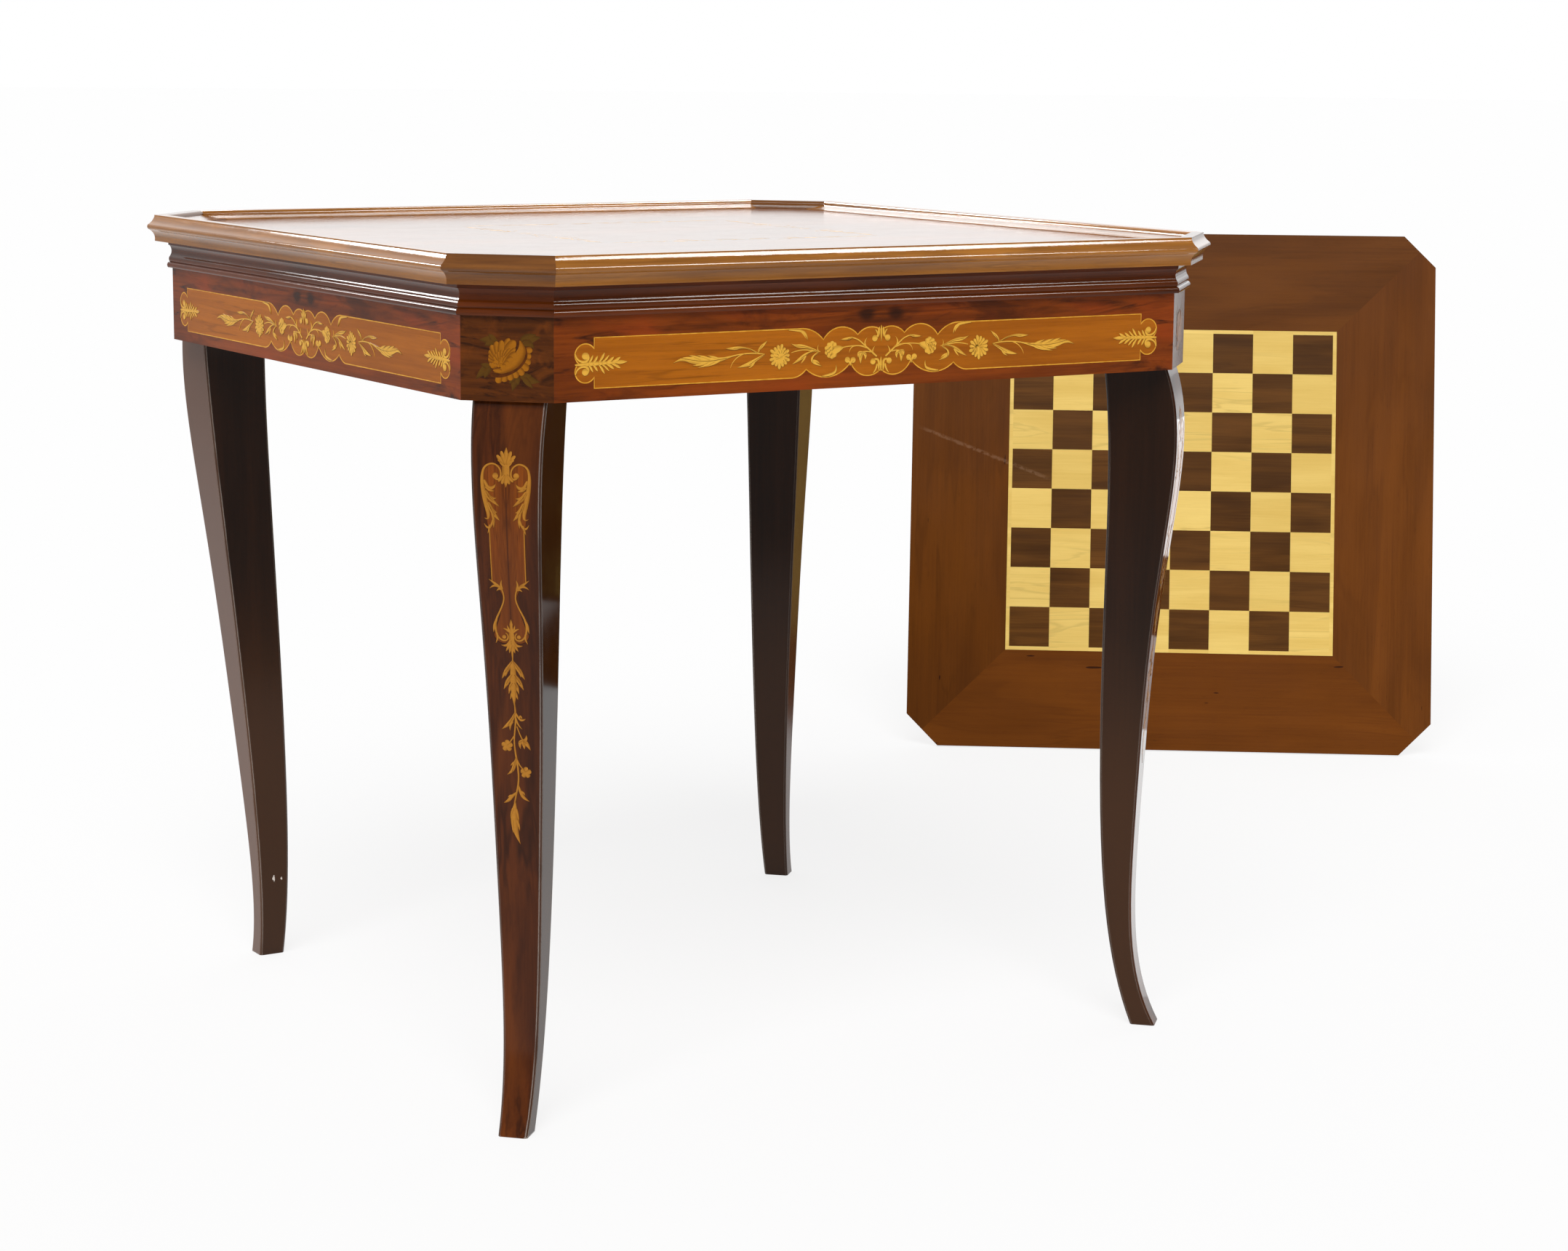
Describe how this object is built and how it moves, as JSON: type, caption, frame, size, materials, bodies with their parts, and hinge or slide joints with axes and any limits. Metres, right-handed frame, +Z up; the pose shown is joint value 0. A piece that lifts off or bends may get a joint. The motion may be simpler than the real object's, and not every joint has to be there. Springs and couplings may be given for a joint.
{
  "type": "chess table",
  "caption": "Square games table with clipped corners, moulded rim round a board recess, inlaid apron and cabriole legs, and its loose inlaid chess board leaning behind it.",
  "frame": {"origin": "on the floor under the centre of the table", "axes": "+Z up, -Y out of the front rail, +X to the right of someone who faces the front rail"},
  "size_m": [1.959, 1.4152, 0.775],
  "materials": {
    "apron_walnut": "glossy lacquer over red-brown figured walnut",
    "inlay_walnut": "glossy lacquer over golden-brown walnut",
    "corner_burr": "glossy lacquer over dark burr walnut",
    "frieze_walnut": "glossy lacquer over dark walnut",
    "rim_walnut": "glossy lacquer over golden walnut",
    "leg_walnut": "glossy lacquer over dark walnut",
    "top_veneer": "high-gloss lacquer over walnut veneer",
    "cleat_beech": "raw wood",
    "board_walnut": "satin lacquer over walnut veneer",
    "maple": "satin lacquer over maple",
    "dark_walnut": "satin lacquer over dark walnut",
    "board_edge": "dark stained plywood",
    "steel": "plain steel",
    "brass": "plain brass"
  },
  "bodies": {
    "table": {"apron_rail_front": "apron_walnut", "apron_panel_front": "inlay_walnut", "cleat_front": "cleat_beech", "apron_rail_right": "apron_walnut", "apron_panel_right": "inlay_walnut", "cleat_right": "cleat_beech", "apron_rail_back": "apron_walnut", "apron_panel_back": "inlay_walnut", "cleat_back": "cleat_beech", "apron_rail_left": "apron_walnut", "apron_panel_left": "inlay_walnut", "cleat_left": "cleat_beech", "corner_block_fl": "corner_burr", "corner_block_fr": "corner_burr", "corner_block_br": "corner_burr", "corner_block_bl": "corner_burr", "frieze_front": "frieze_walnut", "rim_front": "rim_walnut", "frieze_right": "frieze_walnut", "rim_right": "rim_walnut", "frieze_back": "frieze_walnut", "rim_back": "rim_walnut", "frieze_left": "frieze_walnut", "rim_left": "rim_walnut", "frieze_fl": "frieze_walnut", "rim_fl": "rim_walnut", "frieze_fr": "frieze_walnut", "rim_fr": "rim_walnut", "frieze_br": "frieze_walnut", "rim_br": "rim_walnut", "frieze_bl": "frieze_walnut", "rim_bl": "rim_walnut", "top_panel": "top_veneer", "cleat_screws": "steel", "leg_inserts": "brass"},
    "leg_front_left": {"leg_fl": "leg_walnut", "leg_bolt_fl": "steel", "leg_inlay_fl": "inlay_walnut"},
    "leg_front_right": {"leg_fr": "leg_walnut", "leg_bolt_fr": "steel", "leg_inlay_fr": "inlay_walnut"},
    "leg_back_right": {"leg_br": "leg_walnut", "leg_bolt_br": "steel", "leg_inlay_br": "inlay_walnut"},
    "leg_back_left": {"leg_bl": "leg_walnut", "leg_bolt_bl": "steel", "leg_inlay_bl": "inlay_walnut"},
    "board": {"board_core": "board_edge", "board_back": "board_edge", "board_border_bottom": "board_walnut", "board_border_right": "board_walnut", "board_border_top": "board_walnut", "board_border_left": "board_walnut", "board_line": "maple", "board_light_squares": "maple", "board_dark_squares": "dark_walnut"}
  },
  "joints": [
    {"name": "leg_turn_front_left", "type": "hinge", "parent": "table", "child": "leg_front_left", "pos_m": [-0.33229, -0.33229, 0.65], "axis": [0, 0, 1], "continuous": true},
    {"name": "leg_turn_front_right", "type": "hinge", "parent": "table", "child": "leg_front_right", "pos_m": [0.33229, -0.33229, 0.65], "axis": [0, 0, 1], "continuous": true},
    {"name": "leg_turn_back_right", "type": "hinge", "parent": "table", "child": "leg_back_right", "pos_m": [0.33229, 0.33229, 0.65], "axis": [0, 0, 1], "continuous": true},
    {"name": "leg_turn_back_left", "type": "hinge", "parent": "table", "child": "leg_back_left", "pos_m": [-0.33229, 0.33229, 0.65], "axis": [0, 0, 1], "continuous": true},
    {"name": "board_tip", "type": "hinge", "parent": "table", "child": "board", "pos_m": [1.16729, 0.67105, 0], "axis": [0.8166, -0.5771, 0], "range_deg": [0, 13.64]}
  ]
}
